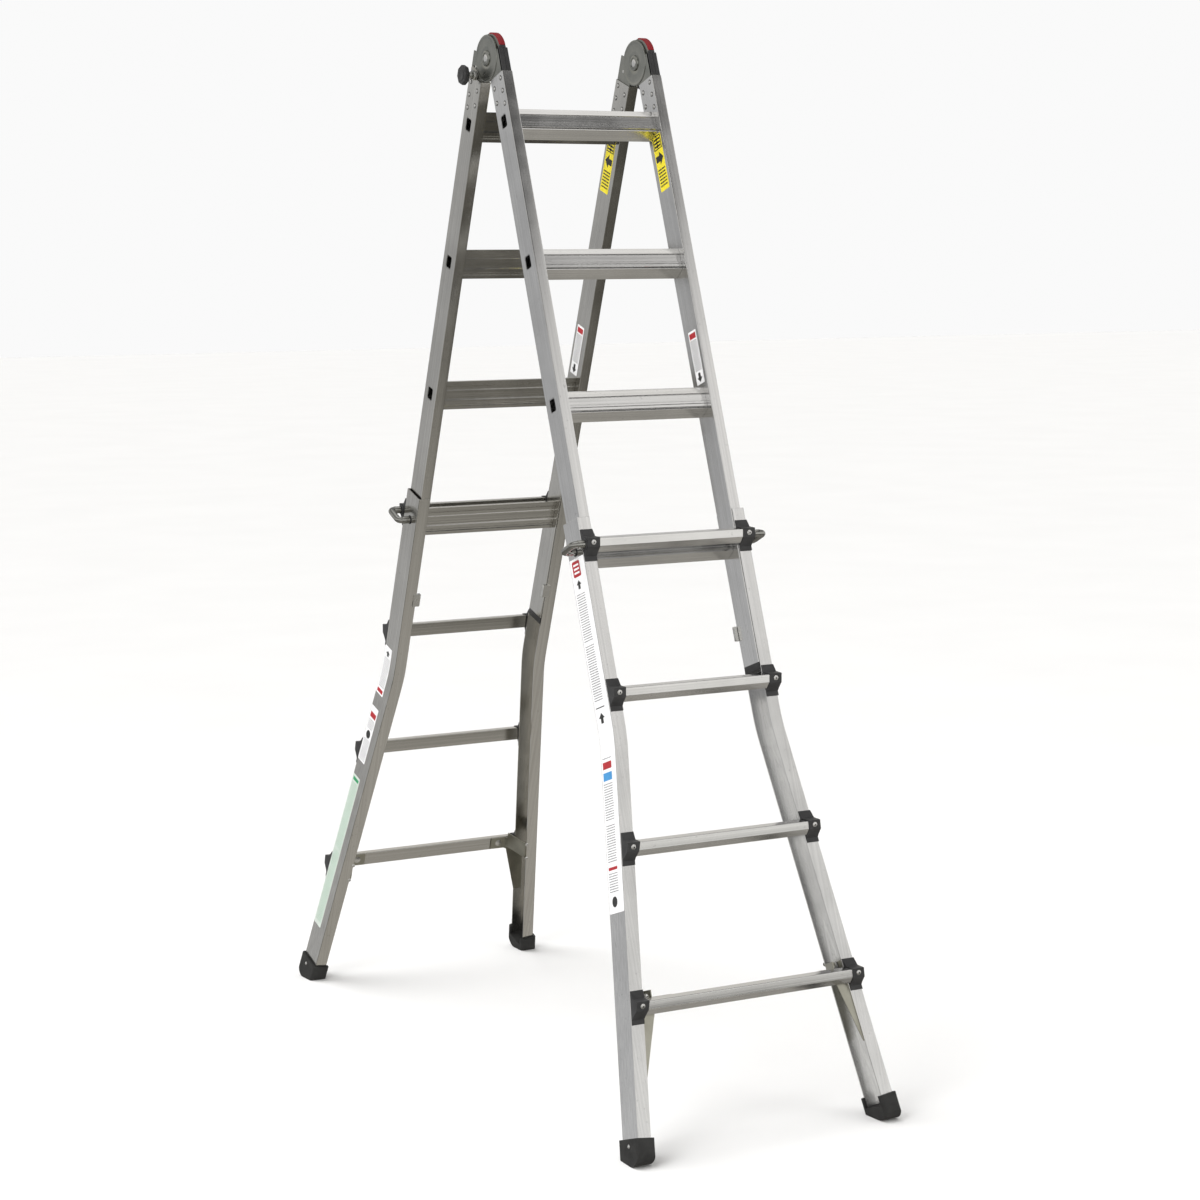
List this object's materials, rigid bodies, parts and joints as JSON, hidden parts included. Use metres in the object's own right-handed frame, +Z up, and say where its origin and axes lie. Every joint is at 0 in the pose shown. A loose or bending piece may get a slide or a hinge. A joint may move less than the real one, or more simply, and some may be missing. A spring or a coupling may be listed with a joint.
{
  "type": "multi position ladder",
  "caption": "Hinged and telescoping ladder standing as an A-frame: narrow inner sections with rungs, flared outer sections with steps, sprung rung locks and rubber boots.",
  "frame": {"origin": "on the floor, midway between the four feet and straight below the hinge line", "axes": "+Z up, X along the rungs, the front half towards -Y and the back half towards +Y"},
  "size_m": [0.6118, 1.6472, 2.1771],
  "materials": {
    "extruded_aluminium": "mill finish with fine extrusion lines",
    "hinge_metal": "dull grey-green cast",
    "zinc_steel": "zinc plated",
    "black_plastic": "fine moulded texture",
    "rubber": "matte"
  },
  "bodies": {
    "front_inner_section": {"front_inner_rail_left": "extruded_aluminium", "front_inner_rail_right": "extruded_aluminium", "front_rung_1": "extruded_aluminium", "front_rung_2": "extruded_aluminium", "front_rung_3": "extruded_aluminium", "front_rung_4": "extruded_aluminium", "hinge_front_arm_left": "hinge_metal", "hinge_front_arm_right": "hinge_metal", "hinge_pivot_bolt_left": "zinc_steel", "hinge_pivot_bolt_right": "zinc_steel"},
    "front_outer_section": {"front_outer_rail_left": "extruded_aluminium", "front_outer_rail_right": "extruded_aluminium", "front_step_1": "extruded_aluminium", "front_step_2": "extruded_aluminium", "front_step_3": "extruded_aluminium", "front_step_4": "extruded_aluminium", "front_step_bracket_1_left": "black_plastic", "front_step_bracket_1_right": "black_plastic", "front_step_bracket_2_left": "black_plastic", "front_step_bracket_2_right": "black_plastic", "front_step_bracket_3_left": "black_plastic", "front_step_bracket_3_right": "black_plastic", "front_step_bracket_4_left": "black_plastic", "front_step_bracket_4_right": "black_plastic", "front_knee_brace_left": "zinc_steel", "front_knee_brace_right": "zinc_steel", "front_foot_left": "rubber", "front_foot_right": "rubber"},
    "front_rung_lock_handle_left": {"front_rung_lock_left": "zinc_steel"},
    "front_rung_lock_handle_right": {"front_rung_lock_right": "zinc_steel"},
    "back_inner_section": {"back_inner_rail_left": "extruded_aluminium", "back_inner_rail_right": "extruded_aluminium", "back_rung_1": "extruded_aluminium", "back_rung_2": "extruded_aluminium", "back_rung_3": "extruded_aluminium", "back_rung_4": "extruded_aluminium", "hinge_back_arm_left": "hinge_metal", "hinge_back_arm_right": "hinge_metal"},
    "back_outer_section": {"back_outer_rail_left": "extruded_aluminium", "back_outer_rail_right": "extruded_aluminium", "back_step_1": "extruded_aluminium", "back_step_2": "extruded_aluminium", "back_step_3": "extruded_aluminium", "back_step_4": "extruded_aluminium", "back_step_bracket_1_left": "black_plastic", "back_step_bracket_1_right": "black_plastic", "back_step_bracket_2_left": "black_plastic", "back_step_bracket_2_right": "black_plastic", "back_step_bracket_3_left": "black_plastic", "back_step_bracket_3_right": "black_plastic", "back_step_bracket_4_left": "black_plastic", "back_step_bracket_4_right": "black_plastic", "back_knee_brace_left": "zinc_steel", "back_knee_brace_right": "zinc_steel", "back_foot_left": "rubber", "back_foot_right": "rubber"},
    "back_rung_lock_handle_left": {"back_rung_lock_left": "zinc_steel"},
    "back_rung_lock_handle_right": {"back_rung_lock_right": "zinc_steel"},
    "hinge_knob_left": {"hinge_lock_knob_left": "black_plastic"},
    "hinge_knob_right": {"hinge_lock_knob_right": "black_plastic"}
  },
  "joints": [
    {"name": "main_hinge", "type": "hinge", "parent": "front_inner_section", "child": "back_inner_section", "pos_m": [0, 0, 2.126], "axis": [1, 0, 0], "range_deg": [-38.8, 140.76]},
    {"name": "front_height_slide", "type": "slide", "parent": "front_inner_section", "child": "front_outer_section", "axis": [0, 0.3358, 0.9419], "range_m": [0, 0.9144]},
    {"name": "back_height_slide", "type": "slide", "parent": "back_inner_section", "child": "back_outer_section", "axis": [0, -0.3358, 0.9419], "range_m": [0, 0.9144]},
    {"name": "front_rung_lock_pull_left", "type": "slide", "parent": "front_outer_section", "child": "front_rung_lock_handle_left", "axis": [-1, 0, 0], "range_m": [0, 0.022], "stiffness_N_per_m": 800, "springref_m": -0.006},
    {"name": "front_rung_lock_pull_right", "type": "slide", "parent": "front_outer_section", "child": "front_rung_lock_handle_right", "axis": [1, 0, 0], "range_m": [0, 0.022], "stiffness_N_per_m": 800, "springref_m": -0.006},
    {"name": "back_rung_lock_pull_left", "type": "slide", "parent": "back_outer_section", "child": "back_rung_lock_handle_left", "axis": [-1, 0, 0], "range_m": [0, 0.022], "stiffness_N_per_m": 800, "springref_m": -0.006},
    {"name": "back_rung_lock_pull_right", "type": "slide", "parent": "back_outer_section", "child": "back_rung_lock_handle_right", "axis": [1, 0, 0], "range_m": [0, 0.022], "stiffness_N_per_m": 800, "springref_m": -0.006},
    {"name": "hinge_knob_pull_left", "type": "slide", "parent": "back_inner_section", "child": "hinge_knob_left", "axis": [-1, 0, 0], "range_m": [0, 0.014], "stiffness_N_per_m": 1200, "springref_m": -0.005},
    {"name": "hinge_knob_pull_right", "type": "slide", "parent": "back_inner_section", "child": "hinge_knob_right", "axis": [1, 0, 0], "range_m": [0, 0.014], "stiffness_N_per_m": 1200, "springref_m": -0.005}
  ]
}
